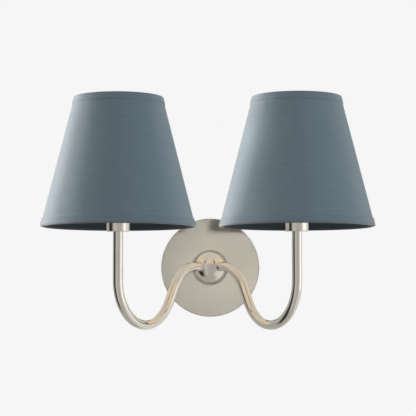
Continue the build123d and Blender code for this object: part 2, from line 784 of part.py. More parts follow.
for name, side in sides.items():
    save(make_arm(side), f"arm_{name}")
    save(make_flex(side), f"flex_{name}")
    save(make_cup(side), f"cup_{name}")
    save(make_nipple(side), f"nipple_{name}")
    save(make_holder_base(side), f"holder_base_{name}")
    save(make_holder_body(side), f"holder_body_{name}")
    save(make_screw_shell(side), f"screw_shell_{name}")
    save(make_centre_contact(side), f"centre_contact_{name}")
    save(make_ring_nut(side), f"ring_nut_{name}")
    save(make_carrier(side), f"shade_carrier_{name}")
    save(make_bulb_tip(side), f"bulb_tip_{name}")
    save(make_bulb_cap(side), f"bulb_cap_{name}")
    save(make_bulb_glass(side), f"bulb_glass_{name}")
    save(make_wall(side, 0, cover_t), f"shade_cover_{name}")
    save(make_wall(side, cover_t + glue_gap, inner_face), f"shade_liner_{name}")
    save(make_low_ring(side), f"shade_low_ring_{name}")
    save(make_top_ring(side), f"shade_top_ring_{name}")
    save(make_spider(side), f"shade_spider_{name}")
    save(make_trim(side, 0, 1, low_trim_h), f"shade_low_trim_{name}")
    save(make_top_trim(side), f"shade_top_trim_{name}")
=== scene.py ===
# %% [markdown]
# # A wall light with two arms
# The object is a polished nickel wall light: a round backplate, a ball, two bent arms, two cups
# and two slate fabric shades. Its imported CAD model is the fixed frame, in metres, and every piece
# made here sits where that frame says. The lesson goes from the camera and the light to the metal,
# the cloth and the small parts inside.

# %% Load the fixed frame
import json
import math

import bmesh
import bpy
from mathutils import Matrix, Vector

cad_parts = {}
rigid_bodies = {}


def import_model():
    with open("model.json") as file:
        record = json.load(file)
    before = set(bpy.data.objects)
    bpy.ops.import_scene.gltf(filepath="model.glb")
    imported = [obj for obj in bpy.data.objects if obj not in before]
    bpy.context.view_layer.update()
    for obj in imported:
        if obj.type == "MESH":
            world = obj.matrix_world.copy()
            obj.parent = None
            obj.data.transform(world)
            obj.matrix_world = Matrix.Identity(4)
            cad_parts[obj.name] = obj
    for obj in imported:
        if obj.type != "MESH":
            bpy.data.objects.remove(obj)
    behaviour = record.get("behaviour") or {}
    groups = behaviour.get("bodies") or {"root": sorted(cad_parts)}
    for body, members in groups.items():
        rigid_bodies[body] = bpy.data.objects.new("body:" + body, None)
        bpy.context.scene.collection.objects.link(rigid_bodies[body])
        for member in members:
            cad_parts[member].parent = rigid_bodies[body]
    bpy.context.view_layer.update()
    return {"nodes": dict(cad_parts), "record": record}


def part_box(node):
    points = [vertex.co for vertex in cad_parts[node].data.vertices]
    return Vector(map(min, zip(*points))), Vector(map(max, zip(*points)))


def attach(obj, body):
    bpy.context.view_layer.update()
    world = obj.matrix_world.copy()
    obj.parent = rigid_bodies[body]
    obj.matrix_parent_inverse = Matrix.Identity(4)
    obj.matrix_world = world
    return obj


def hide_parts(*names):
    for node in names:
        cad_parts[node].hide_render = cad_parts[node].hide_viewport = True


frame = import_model()
nodes = frame["nodes"]
SIDES = {"left": -1, "right": 1}
print("nodes in the frame:", len(nodes))

# %% [markdown]
# ## Camera
# The photograph is taken with a long lens from just below the backplate, a little to its right.
# The lens, place and turn below were solved from the outlines of the shades, the arms and the plate.

# %% Camera
LENS_MM = 129.09
EYE = Vector((0.0391, -2.1138, -0.0550))
PITCH_UP = 0.0661
TURN_LEFT = 0.0201

camera_data = bpy.data.cameras.new("camera")
camera_data.lens = LENS_MM
camera_data.sensor_width = 36.0
camera = bpy.data.objects.new("camera", camera_data)
camera.location = EYE
camera.rotation_euler = (math.pi / 2 + PITCH_UP, 0.0, TURN_LEFT)
bpy.context.scene.collection.objects.link(camera)
bpy.context.scene.camera = camera
bpy.context.scene.view_settings.view_transform = "Standard"
print("camera", tuple(round(v, 3) for v in EYE))

# %% [markdown]
# ## Node helpers
# A material is a small graph. These helpers add a node, set its sockets and join it in one line,
# so that each graph below reads as a list of what it holds.

# %% Node helpers
def srgb(red, green, blue, alpha=1.0):
    """A colour given as 0-255 screen values, turned into the linear values that shaders use."""
    def linear(value):
        value /= 255.0
        return value / 12.92 if value <= 0.04045 else ((value + 0.055) / 1.055) ** 2.4
    return (linear(red), linear(green), linear(blue), alpha)


def add_node(tree, kind, settings=None, **sockets):
    """A new node with its settings and input sockets filled; a socket takes a value or a link."""
    node = tree.nodes.new(kind)
    for key, value in (settings or {}).items():
        setattr(node, key, value)
    for key, value in sockets.items():
        socket = node.inputs[int(key[1:]) if key[0] == "i" and key[1:].isdigit() else key.replace("_", " ")]
        if isinstance(value, bpy.types.NodeSocket):
            tree.links.new(value, socket)
        else:
            socket.default_value = value
    return node


def maths(tree, operation, *values):
    """One arithmetic step on numbers or links."""
    node = add_node(tree, "ShaderNodeMath", {"operation": operation})
    for socket, value in zip(node.inputs, values):
        if isinstance(value, bpy.types.NodeSocket):
            tree.links.new(value, socket)
        else:
            socket.default_value = value
    return node.outputs[0]


def ramp(tree, factor, stops):
    """A colour ramp; stops are (place, colour or grey value)."""
    node = add_node(tree, "ShaderNodeValToRGB", Fac=factor)
    elements = node.color_ramp.elements
    while len(elements) < len(stops):
        elements.new(0.5)
    for element, (place, value) in zip(elements, stops):
        element.position = place
        element.color = value if hasattr(value, "__len__") else (value, value, value, 1.0)
    return node.outputs["Color"]


def new_group(name, inputs, outputs):
    """An empty shader node group with named sockets; returns the tree and its two end nodes."""
    tree = bpy.data.node_groups.new(name, "ShaderNodeTree")
    for label, kind, value in inputs:
        socket = tree.interface.new_socket(label, in_out="INPUT", socket_type=kind)
        if value is not None:
            socket.default_value = value
    for label, kind in outputs:
        tree.interface.new_socket(label, in_out="OUTPUT", socket_type=kind)
    return tree, tree.nodes.new("NodeGroupInput"), tree.nodes.new("NodeGroupOutput")


def new_material(name):
    """A material with an empty Principled shader; returns the material, its tree and the shader."""
    material = bpy.data.materials.new(name)
    material.use_nodes = True
    tree = material.node_tree
    return material, tree, tree.nodes["Principled BSDF"]


print("helpers ready")

# %% [markdown]
# ## Studio
# The light hangs before a pale wall in a white room. Cloth and polished metal need different
# things from it. The cloth is lit by lamps: broad ones from both sides and behind, which make the
# bright edges of each shade, and a soft one in front. Polished metal shows the room itself, so it
# gets what a photographer sets up for silverware: a tent of plain cards round the object, open at
# the back, where the metal shows the pale wall. The cards are grey in front, with one black card
# at the left, one bright window at the right and a warm ceiling. They are there for reflections
# alone: no camera sees them, and they neither light nor shade the cloth. How bright the cards are
# follows levels that were measured on the metal in the photograph, by the direction it reflects.

# %% World: a pale wall to be seen, a dimmer light to fall on things
PALE = srgb(246, 246, 246)
ROOM_UP, ROOM_DOWN = 0.26, 0.24

world = bpy.data.worlds.new("room")
bpy.context.scene.world = world
world.use_nodes = True
room = world.node_tree
room.nodes.clear()
towards = add_node(room, "ShaderNodeTexCoord").outputs["Generated"]
upward = add_node(room, "ShaderNodeSeparateXYZ", Vector=towards).outputs["Z"]
rise = maths(room, "MULTIPLY_ADD", upward, 0.5, 0.5)
dim = ramp(room, rise, [(0.35, ROOM_DOWN), (0.75, ROOM_UP)])
plain = add_node(room, "ShaderNodeBackground", Color=dim, Strength=1.0)
backdrop = add_node(room, "ShaderNodeBackground", Color=PALE, Strength=1.0)
ray = add_node(room, "ShaderNodeLightPath").outputs
looked_at = maths(room, "MAXIMUM", ray["Is Camera Ray"], ray["Is Transmission Ray"])
seen = maths(room, "MAXIMUM", looked_at, ray["Is Glossy Ray"])
shown = add_node(room, "ShaderNodeMixShader", Fac=seen)
room.links.new(plain.outputs[0], shown.inputs[1])
room.links.new(backdrop.outputs[0], shown.inputs[2])
add_node(room, "ShaderNodeOutputWorld", Surface=shown.outputs[0])
print("world ready")

# %% Tent of cards round the object
TENT_R = 3.4
TENT_ROUND, TENT_UP = 72, 36
OPEN_BEHIND, OPEN_TALL = 14.0, TENT_R * 0.5
CARDS = (
    # azimuth in degrees from the camera, positive to the right, and how bright the card is there;
    # the levels follow measurements on the photograph and were then changed
    (-180, 0.52), (-150, 0.46), (-120, 0.42), (-100, 0.38), (-91, 0.10), (-86, 0.03),
    (-62, 0.03), (-52, 0.20), (-44, 0.42), (-26, 0.54), (-8, 0.44), (12, 0.40),
    (34, 0.43), (48, 0.58), (60, 0.66), (100, 0.70), (140, 0.68), (180, 0.60),
)
CARD_RED, CARD_BLUE = 1.03, 0.95
WINDOW = ((56, 0.0), (62, 1.0), (94, 1.0), (102, 0.0))
WINDOW_LIGHT = (1.16, 1.15, 1.12, 1.0)
CEILING, HIGH = (0.72, 0.60, 0.46, 1.0), (0.60, 0.56, 0.50, 1.0)
GROUND = (0.41, 0.40, 0.37, 1.0)


def no_rays(thing, *kinds):
    """Switches off the kinds of ray that may meet an object."""
    for kind in kinds:
        setattr(thing, "visible_" + kind, False)


def rgb_mix(tree, factor, first, second):
    """Mixes two colours; each is a link or a colour."""
    node = add_node(tree, "ShaderNodeMix", {"data_type": "RGBA", "blend_type": "MIX"})
    tree.links.new(factor, node.inputs["Factor"])
    for place, value in (("A", first), ("B", second)):
        socket = next(i for i in node.inputs if i.name == place and i.type == "RGBA")
        if isinstance(value, bpy.types.NodeSocket):
            tree.links.new(value, socket)
        else:
            socket.default_value = value
    return next(o for o in node.outputs if o.type == "RGBA")


def is_behind(place):
    """Whether a place on the tent lies in its opening behind the object."""
    aside = abs(math.degrees(math.atan2(place.x, place.y)))
    return aside < OPEN_BEHIND and abs(place.z) < OPEN_TALL


tent_shape = bmesh.new()
bmesh.ops.create_uvsphere(tent_shape, u_segments=TENT_ROUND, v_segments=TENT_UP, radius=TENT_R)
behind = [face for face in tent_shape.faces if is_behind(face.calc_center_median())]
bmesh.ops.delete(tent_shape, geom=behind, context="FACES")
bmesh.ops.reverse_faces(tent_shape, faces=tent_shape.faces)
tent_mesh = bpy.data.meshes.new("tent")
tent_shape.to_mesh(tent_mesh)
tent_shape.free()
tent = bpy.data.objects.new("tent", tent_mesh)
bpy.context.scene.collection.objects.link(tent)
no_rays(tent, "camera", "diffuse", "transmission", "volume_scatter", "shadow")

tent_paint, tent_tree, _ = new_material("tent_cards")
tent_tree.nodes.clear()
tent_place = add_node(tent_tree, "ShaderNodeTexCoord").outputs["Object"]
spot = add_node(tent_tree, "ShaderNodeSeparateXYZ", Vector=tent_place)
forward = maths(tent_tree, "MULTIPLY", spot.outputs["Y"], -1.0)
azimuth = maths(tent_tree, "ARCTAN2", spot.outputs["X"], forward)
turn = maths(tent_tree, "MULTIPLY_ADD", azimuth, 1 / (2 * math.pi), 0.5)
level = maths(tent_tree, "MULTIPLY_ADD", spot.outputs["Z"], 0.5 / TENT_R, 0.5)


def at(angle):
    """Place on the ramp of a full turn."""
    return (angle + 180) / 360


def up(angle):
    """Place on the ramp of heights, for an elevation in degrees."""
    return 0.5 + 0.5 * math.sin(math.radians(angle))


cards = ramp(tent_tree, turn, [(at(a), (CARD_RED * b, b, CARD_BLUE * b, 1)) for a, b in CARDS])
window = maths(
    tent_tree, "MULTIPLY",
    ramp(tent_tree, turn, [(at(a), b) for a, b in WINDOW]),
    ramp(tent_tree, level, [(up(-20), 0.0), (up(-12), 1.0), (up(12), 1.0), (up(18), 0.0)]),
)
lit = rgb_mix(tent_tree, window, cards, WINDOW_LIGHT)
roof = ramp(tent_tree, level, [(up(30), CEILING), (up(50), CEILING), (up(64), HIGH)])
overhead = ramp(tent_tree, level, [(up(14), 0.0), (up(30), 1.0)])
roofed = rgb_mix(tent_tree, overhead, lit, roof)
underfoot = ramp(tent_tree, level, [(up(-68), 1.0), (up(-46), 0.0)])
grounded = rgb_mix(tent_tree, underfoot, roofed, GROUND)
glow = add_node(tent_tree, "ShaderNodeEmission", Color=grounded, Strength=1.0)
add_node(tent_tree, "ShaderNodeOutputMaterial", Surface=glow.outputs[0])
tent_mesh.materials.append(tent_paint)
print("tent of", len(tent_mesh.polygons), "faces")

# %% Tent for the backplate
DARK_TO, PALE_FROM = 34.0, 62.0
VEIL_DARK, VEIL_PALE = (0.05, 0.05, 0.055, 1), (0.56, 0.54, 0.49, 1)
VEIL_SHARE = 0.95
veil = bpy.data.objects.new("plate_tent", tent_mesh.copy())
veil.data.transform(Matrix.Scale(VEIL_SHARE, 4))
bpy.context.scene.collection.objects.link(veil)
no_rays(veil, "camera", "diffuse", "transmission", "volume_scatter", "shadow")
veil_paint, veil_tree, _ = new_material("plate_tent_cards")
veil_tree.nodes.clear()
facing = add_node(veil_tree, "ShaderNodeVectorMath", {"operation": "NORMALIZE"})
veil_tree.links.new(add_node(veil_tree, "ShaderNodeTexCoord").outputs["Object"], facing.inputs[0])
inward = add_node(veil_tree, "ShaderNodeSeparateXYZ", Vector=facing.outputs[0]).outputs["Y"]
front = maths(veil_tree, "MULTIPLY_ADD", inward, -0.5, 0.5)
away = [0.5 + 0.5 * math.cos(math.radians(angle)) for angle in (PALE_FROM, DARK_TO)]
veil_card = ramp(veil_tree, front, [(away[0], VEIL_PALE), (away[1], VEIL_DARK)])
veil_glow = add_node(veil_tree, "ShaderNodeEmission", Color=veil_card, Strength=1.0)
clear = add_node(veil_tree, "ShaderNodeBsdfTransparent")
both = add_node(veil_tree, "ShaderNodeAddShader", i0=veil_glow.outputs[0], i1=clear.outputs[0])
add_node(veil_tree, "ShaderNodeOutputMaterial", Surface=both.outputs[0])
veil.data.materials.clear()
veil.data.materials.append(veil_paint)
print("plate tent ready")

# %% Lamps
SHADES_MIDDLE = Vector((0.0, -0.2069, 0.11))


def lamp(name, azimuth, elevation, distance, size, watts, colour=(1, 1, 1), centre=SHADES_MIDDLE):
    """A square lamp at an azimuth and elevation, in degrees, that faces the object; metal doesn't show it."""
    data = bpy.data.lights.new(name, "AREA")
    data.size = size
    data.energy = watts
    data.color = colour
    thing = bpy.data.objects.new(name, data)
    side, lift = math.radians(azimuth), math.radians(elevation)
    out = Vector((math.sin(side) * math.cos(lift), -math.cos(side) * math.cos(lift), math.sin(lift)))
    thing.location = centre + out * distance
    thing.rotation_euler = (-out).to_track_quat("-Z", "Y").to_euler()
    thing.visible_glossy = False
    bpy.context.scene.collection.objects.link(thing)
    return thing


WARM, PLAIN, CANDLE = (1.0, 0.94, 0.89), (0.96, 1.0, 1.0), (1.0, 0.96, 0.84)
SIDE_UP, SIDE_AWAY = 6, 2.4
SIDE_SIZE = {"left": 0.6, "right": 0.8}
SIDE_COLOUR = {"left": WARM, "right": PLAIN}
FAR_MORE = {"left": 1.14, "right": 1.0}
SIDE_LAMPS = (
    # the shade that would stand in its way, name, azimuth and watts; the watts are rounded from a
    # least-squares match of each lamp's own light to the cloth in the photograph
    ("left", "left_behind", -135, 69),
    ("left", "left_rim", -113, 94),
    ("left", "left_side", -92, 52),
    ("left", "left_front", -68, 7.5),
    ("right", "right_front", 65, 42),
    ("right", "right_behind", 135, 22),
)
lamp("front", -20, 22, 2.6, 1.1, 11, PLAIN)
side_lamps = []
for near, name, azimuth_deg, watts in SIDE_LAMPS:
    place = (azimuth_deg, SIDE_UP, SIDE_AWAY, SIDE_SIZE[near])
    near_lamp = lamp(name + "_near", *place, watts, SIDE_COLOUR[near])
    far_lamp = lamp(name + "_far", *place, watts * FAR_MORE[near], SIDE_COLOUR[near])
    side_lamps.append((near_lamp, far_lamp, near))
by_camera = lamp("by_camera", 5.2, 0.4, 1.95, 0.09, 6.2, CANDLE, Vector((0, 0, 0)))
by_camera.visible_glossy = True

# %% Floor
FLOOR_Z = -0.62
FLOOR_HALF = 2.0
floor_mesh = bpy.data.meshes.new("floor")
floor_mesh.from_pydata(
    [(x * FLOOR_HALF, y * FLOOR_HALF, FLOOR_Z) for x, y in ((-1, -1), (1, -1), (1, 1), (-1, 1))],
    [], [(0, 1, 2, 3)],
)
floor = bpy.data.objects.new("floor", floor_mesh)
bpy.context.scene.collection.objects.link(floor)
floor_paint, floor_tree, floor_shader = new_material("floor_paint")
floor_shader.inputs["Base Color"].default_value = srgb(236, 236, 234)
floor_shader.inputs["Roughness"].default_value = 0.9
floor_mesh.materials.append(floor_paint)
no_rays(floor, "glossy", "diffuse")
underside = add_node(floor_tree, "ShaderNodeNewGeometry").outputs["Backfacing"]
from_below = add_node(floor_tree, "ShaderNodeMixShader", Fac=underside)
see_through = add_node(floor_tree, "ShaderNodeBsdfTransparent")
floor_tree.links.new(floor_shader.outputs[0], from_below.inputs[1])
floor_tree.links.new(see_through.outputs[0], from_below.inputs[2])
floor_tree.links.new(from_below.outputs[0], floor_tree.nodes["Material Output"].inputs["Surface"])
print("floor at", FLOOR_Z)

# %% [markdown]
# ## Shader groups shared by several finishes
# Three effects come back in more than one material: woven threads, faint smears on polished
# metal, and the small unevenness of moulded or painted parts. Each is one node group with named
# inputs, which puts out masks and heights and leaves the shading itself to the material.

# %% Woven cloth
WEFT_SLUB, WARP_SLUB = (26.0, 560.0, 1.0), (620.0, 30.0, 1.0)
weave, weave_in, weave_out = new_group(
    "woven_cloth",
    [
        ("Threads", "NodeSocketVector", None),
        ("Count", "NodeSocketFloat", 1500.0),
        ("Slub", "NodeSocketFloat", 0.5),
    ],
    [("Height", "NodeSocketFloat"), ("Tone", "NodeSocketFloat")],
)
across = add_node(weave, "ShaderNodeSeparateXYZ", Vector=weave_in.outputs["Threads"])
turns = maths(weave, "MULTIPLY", weave_in.outputs["Count"], 2 * math.pi)
warp = maths(weave, "SINE", maths(weave, "MULTIPLY", across.outputs["X"], turns))
weft = maths(weave, "SINE", maths(weave, "MULTIPLY", across.outputs["Y"], turns))
crossing = maths(weave, "MULTIPLY", warp, weft)


def thick_and_thin(stretch, detail, share):
    """Uneven threads that run one way, weighted by a share."""
    place = add_node(weave, "ShaderNodeMapping", Vector=weave_in.outputs["Threads"], Scale=stretch)
    noise = add_node(
        weave, "ShaderNodeTexNoise", {"noise_dimensions": "2D"},
        Vector=place.outputs[0], Scale=1.0, Detail=detail,
    )
    return maths(weave, "MULTIPLY", noise.outputs[0], share)


slubs = maths(weave, "ADD", thick_and_thin(WEFT_SLUB, 3.0, 0.65), thick_and_thin(WARP_SLUB, 2.0, 0.35))
uneven = maths(weave, "MULTIPLY", maths(weave, "SUBTRACT", slubs, 0.5), weave_in.outputs["Slub"])
relief = maths(weave, "ADD", maths(weave, "MULTIPLY", crossing, 0.5), maths(weave, "MULTIPLY", uneven, 2.0))
shift = maths(weave, "ADD", maths(weave, "MULTIPLY", crossing, 0.10), uneven)
weave.links.new(relief, weave_out.inputs["Height"])
weave.links.new(shift, weave_out.inputs["Tone"])
print("group", weave.name, "with", len(weave.nodes), "nodes")

# %% Smears on polished metal, and grain of moulded parts
smear, smear_in, smear_out = new_group(
    "polish_smears",
    [
        ("Place", "NodeSocketVector", None),
        ("Size", "NodeSocketFloat", 45.0),
        ("Low", "NodeSocketFloat", 0.04),
        ("High", "NodeSocketFloat", 0.10),
    ],
    [("Roughness", "NodeSocketFloat"), ("Mask", "NodeSocketFloat")],
)
wide = add_node(
    smear, "ShaderNodeTexNoise",
    Vector=smear_in.outputs["Place"], Scale=smear_in.outputs["Size"], Detail=4.0,
)
spread = add_node(smear, "ShaderNodeMapRange", Value=wide.outputs[0])
spread.inputs["From Min"].default_value, spread.inputs["From Max"].default_value = 0.35, 0.7
smear.links.new(smear_in.outputs["Low"], spread.inputs["To Min"])
smear.links.new(smear_in.outputs["High"], spread.inputs["To Max"])
smear.links.new(spread.outputs[0], smear_out.inputs["Roughness"])
smear.links.new(wide.outputs[0], smear_out.inputs["Mask"])

grain, grain_in, grain_out = new_group(
    "fine_grain",
    [("Place", "NodeSocketVector", None), ("Size", "NodeSocketFloat", 900.0)],
    [("Height", "NodeSocketFloat"), ("Tone", "NodeSocketFloat")],
)
fine = add_node(
    grain, "ShaderNodeTexNoise",
    Vector=grain_in.outputs["Place"], Scale=grain_in.outputs["Size"], Detail=3.0,
)
broad = add_node(grain, "ShaderNodeTexNoise", Vector=grain_in.outputs["Place"], Scale=60.0, Detail=2.0)
grain.links.new(fine.outputs[0], grain_out.inputs["Height"])
speckle = maths(grain, "MULTIPLY", fine.outputs[0], 0.4)
clouding = maths(grain, "MULTIPLY", broad.outputs[0], 0.6)
grain.links.new(maths(grain, "ADD", speckle, clouding), grain_out.inputs["Tone"])
print("groups", smear.name, grain.name)

# %% [markdown]
# ## Finishes
# Each finish is a material of its own. Polished nickel is a warm, slightly yellow mirror. The
# cloth is a plain weave with uneven threads, so its colour shifts a little from thread to thread
# and it has a soft sheen. The lining is smooth and dark. The rest are small parts: zinc-plated
# steel, brass, dark phenolic, white plastic and frosted glass.

# %% Finishes: helpers
def use_group(tree, group, **sockets):
    """Puts a node group into a material with its inputs filled."""
    node = tree.nodes.new("ShaderNodeGroup")
    node.node_tree = group
    for key, value in sockets.items():
        if isinstance(value, bpy.types.NodeSocket):
            tree.links.new(value, node.inputs[key])
        else:
            node.inputs[key].default_value = value
    return node


def tinted(tree, mask, dark, light, low=0.3, high=0.7):
    """A colour between two tones, chosen by a mask."""
    return ramp(tree, mask, [(low, dark), (high, light)])


def bump(tree, height, distance, strength):
    """A normal bent by a height; distance in metres."""
    node = add_node(tree, "ShaderNodeBump", Height=height, Distance=distance, Strength=strength)
    return node.outputs["Normal"]


MATERIALS = {}


def metal(name, dark, light, low, high, size=45.0):
    """A metal with a slightly uneven polish."""
    material, tree, shader = new_material(name)
    place = add_node(tree, "ShaderNodeTexCoord").outputs["Object"]
    smears = use_group(tree, smear, Place=place, Size=size, Low=low, High=high)
    shader.inputs["Metallic"].default_value = 1.0
    tree.links.new(tinted(tree, smears.outputs["Mask"], dark, light), shader.inputs["Base Color"])
    tree.links.new(smears.outputs["Roughness"], shader.inputs["Roughness"])
    MATERIALS[name] = material
    return material


def moulded(name, dark, light, roughness, size=900.0, depth=0.00003, coat=0.0):
    """A plastic, paint or enamel with a fine surface grain."""
    material, tree, shader = new_material(name)
    place = add_node(tree, "ShaderNodeTexCoord").outputs["Object"]
    grains = use_group(tree, grain, Place=place, Size=size)
    tree.links.new(tinted(tree, grains.outputs["Tone"], dark, light), shader.inputs["Base Color"])
    tree.links.new(bump(tree, grains.outputs["Height"], depth, 0.4), shader.inputs["Normal"])
    shader.inputs["Roughness"].default_value = roughness
    shader.inputs["Coat Weight"].default_value = coat
    MATERIALS[name] = material
    return material


# %% Finishes: metals and mouldings
metal("polished_nickel", (0.86, 0.83, 0.775, 1), (0.90, 0.875, 0.82, 1), 0.035, 0.075)
satin = metal("satin_nickel", (0.725, 0.713, 0.675, 1), (0.74, 0.728, 0.69, 1), 0.54, 0.58, size=30.0)
metal("zinc_steel", (0.55, 0.55, 0.53, 1), (0.70, 0.70, 0.67, 1), 0.28, 0.42, size=120.0)
metal("brass", (0.66, 0.49, 0.20, 1), (0.80, 0.62, 0.30, 1), 0.16, 0.30, size=150.0)
metal("nickel_cap", (0.70, 0.69, 0.66, 1), (0.80, 0.79, 0.76, 1), 0.16, 0.26, size=150.0)
moulded("white_plastic", srgb(222, 221, 214), srgb(236, 235, 229), 0.42)
moulded("phenolic", srgb(24, 23, 22), srgb(40, 38, 36), 0.30, coat=0.3)
moulded("black_glass", srgb(14, 14, 16), srgb(24, 24, 28), 0.08, size=300.0)
moulded("white_wire", srgb(224, 223, 218), srgb(238, 237, 233), 0.45)
moulded("earth_insulation", srgb(48, 104, 40), srgb(66, 128, 54), 0.50)
moulded("flex_sheath", srgb(206, 200, 186), srgb(222, 217, 204), 0.55)
moulded("shade_lining", srgb(70, 80, 88), srgb(80, 91, 99), 0.70, size=1400.0)
print("finishes", sorted(MATERIALS))

# %% Finishes: painted shade on the plate behind the ball, where the ball keeps the light off
# The painted shade is dark out to the first radius and has faded out at the second, in metres.
PAINTED_SHADE_IN, PAINTED_SHADE_OUT = 0.0222, 0.0260
# colour of the painted shade behind the ball
PAINTED_SHADE = (0.13, 0.12, 0.10, 1.0)
satin_tree = satin.node_tree
satin_shader = satin_tree.nodes["Principled BSDF"]
shine = satin_shader.inputs["Base Color"].links[0].from_socket
spread_out = add_node(satin_tree, "ShaderNodeVectorMath", {"operation": "LENGTH"})
flat_place = add_node(satin_tree, "ShaderNodeVectorMath", {"operation": "MULTIPLY"})
satin_tree.links.new(add_node(satin_tree, "ShaderNodeTexCoord").outputs["Object"], flat_place.inputs[0])
flat_place.inputs[1].default_value = (1.0, 0.0, 1.0)
satin_tree.links.new(flat_place.outputs[0], spread_out.inputs[0])
# mask of the painted shade: full near the middle, none past the outer radius
painted_shade_mask = add_node(satin_tree, "ShaderNodeMapRange", Value=spread_out.outputs["Value"])
painted_shade_mask.inputs["From Min"].default_value = PAINTED_SHADE_IN
painted_shade_mask.inputs["From Max"].default_value = PAINTED_SHADE_OUT
# the shade is painted into the plate's colour here
with_painted_shade = rgb_mix(satin_tree, painted_shade_mask.outputs[0], PAINTED_SHADE, shine)
satin_tree.links.new(with_painted_shade, satin_shader.inputs["Base Color"])
print("painted_shade_disc fades between", PAINTED_SHADE_IN, "and", PAINTED_SHADE_OUT)

# %% Finishes: cloth and frosted glass
def cloth(name, dark, light, count=1500.0, slub=0.5, depth=0.00022):
    """Plain-woven cloth that follows the piece's own map of threads."""
    material, tree, shader = new_material(name)
    threads = add_node(tree, "ShaderNodeUVMap", {"uv_map": "threads"}).outputs["UV"]
    woven = use_group(tree, weave, Threads=threads, Count=count, Slub=slub)
    tone = maths(tree, "ADD", woven.outputs["Tone"], 0.5)
    tree.links.new(tinted(tree, tone, dark, light, 0.25, 0.75), shader.inputs["Base Color"])
    tree.links.new(bump(tree, woven.outputs["Height"], depth, 0.5), shader.inputs["Normal"])
    shader.inputs["Roughness"].default_value = 0.82
    shader.inputs["Specular IOR Level"].default_value = 0.25
    shader.inputs["Sheen Weight"].default_value = 0.55
    shader.inputs["Sheen Roughness"].default_value = 0.45
    shader.inputs["Sheen Tint"].default_value = (0.95, 0.92, 0.88, 1.0)
    MATERIALS[name] = material
    return material


cloth("slate_fabric", srgb(86, 101, 112), srgb(101, 117, 128), slub=0.62)
cloth("slate_trim", srgb(84, 100, 110), srgb(98, 113, 123), count=1300.0)

frosted, frosted_tree, frosted_shader = new_material("frosted_glass")
frost_place = add_node(frosted_tree, "ShaderNodeTexCoord").outputs["Object"]
frost = use_group(frosted_tree, grain, Place=frost_place, Size=700.0)
milky = tinted(frosted_tree, frost.outputs["Tone"], (0.86, 0.85, 0.82, 1), (0.95, 0.94, 0.91, 1))
frosted_tree.links.new(milky, frosted_shader.inputs["Base Color"])
frosted_shader.inputs["Roughness"].default_value = 0.38
frosted_shader.inputs["Subsurface Weight"].default_value = 0.3
frosted_shader.inputs["Subsurface Radius"].default_value = (0.004, 0.004, 0.0035)
frosted_shader.inputs["Coat Weight"].default_value = 0.2
MATERIALS["frosted_glass"] = frosted
print("cloth and glass ready")

# %% [markdown]
# ## Turned pieces
# Most of this light is turned or spun: plate, collar, ball, cups and every layer of the shades.
# One helper spins a closed outline round an axis. It also lays a map of threads on the surface,
# with lengths in metres, round the axis and along the outline, for the cloth to follow.

# %% Spin helper
CREASE = math.radians(32)
ON_AXIS = 1e-7


def to_object(name, mesh, material, body, slot, *replaced):
    """Finishes a mesh: smooth with crisp corners, its material, its body and what it stands for."""
    mesh.polygons.foreach_set("use_smooth", [True] * len(mesh.polygons))
    mesh.set_sharp_from_angle(angle=CREASE)
    mesh.materials.clear()
    mesh.materials.append(MATERIALS[material])
    piece = bpy.data.objects.new(name, mesh)
    bpy.context.scene.collection.objects.link(piece)
    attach(piece, body)
    if replaced:
        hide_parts(*replaced)
    return piece


def arc_points(centre, radius, start, end, steps):
    """Points of an arc in the outline's plane; angles in degrees."""
    points = []
    for k in range(steps + 1):
        angle = math.radians(start + (end - start) * k / steps)
        points.append((centre[0] + radius * math.cos(angle), centre[1] + radius * math.sin(angle)))
    return points


def spun_mesh(name, outline, origin, along, steps):
    """Mesh of a closed outline of (radius, height) points, spun round an axis through origin."""
    along = Vector(along).normalized()
    first = Vector((1, 0, 0)) if abs(along.x) < 0.5 else Vector((0, 1, 0))
    second = along.cross(first)
    shape = bmesh.new()
    rings = []
    for radius, rise in outline:
        if radius < ON_AXIS:
            rings.append([shape.verts.new(Vector(origin) + along * rise)] * steps)
            continue
        ring = []
        for k in range(steps):
            angle = 2 * math.pi * k / steps
            outward = first * math.cos(angle) + second * math.sin(angle)
            ring.append(shape.verts.new(Vector(origin) + along * rise + outward * radius))
        rings.append(ring)
    lengths = [0.0]
    for (r0, h0), (r1, h1) in zip(outline, outline[1:] + outline[:1]):
        lengths.append(lengths[-1] + math.hypot(r1 - r0, h1 - h0))
    round_length = 2 * math.pi * max(r for r, _ in outline)
    threads = shape.loops.layers.uv.new("threads")
    for i, (low, high) in enumerate(zip(rings, rings[1:] + rings[:1])):
        for k in range(steps):
            n = (k + 1) % steps
            corners = [(low[k], k, i), (low[n], k + 1, i), (high[n], k + 1, i + 1), (high[k], k, i + 1)]
            kept = []
            for corner in corners:
                if corner[0] not in [c[0] for c in kept]:
                    kept.append(corner)
            if len(kept) < 3:
                continue
            face = shape.faces.new([c[0] for c in kept])
            for loop, (_, turn, level) in zip(face.loops, kept):
                loop[threads].uv = (turn / steps * round_length, lengths[level])
    bmesh.ops.recalc_face_normals(shape, faces=shape.faces)
    mesh = bpy.data.meshes.new(name)
    shape.to_mesh(mesh)
    shape.free()
    return mesh


def middle(node):
    """Axis of a node that was turned round a vertical line, as (x, y)."""
    low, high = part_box(node)
    return ((low.x + high.x) / 2, (low.y + high.y) / 2)


print("spin helper ready")

# %% [markdown]
# ## Backplate, collar and ball
# The backplate is a shallow spun pan, satin enough to hold a soft shadow. The collar and the ball
# are polished, and the ball mirrors the plate round its edge and the arms beside its middle.

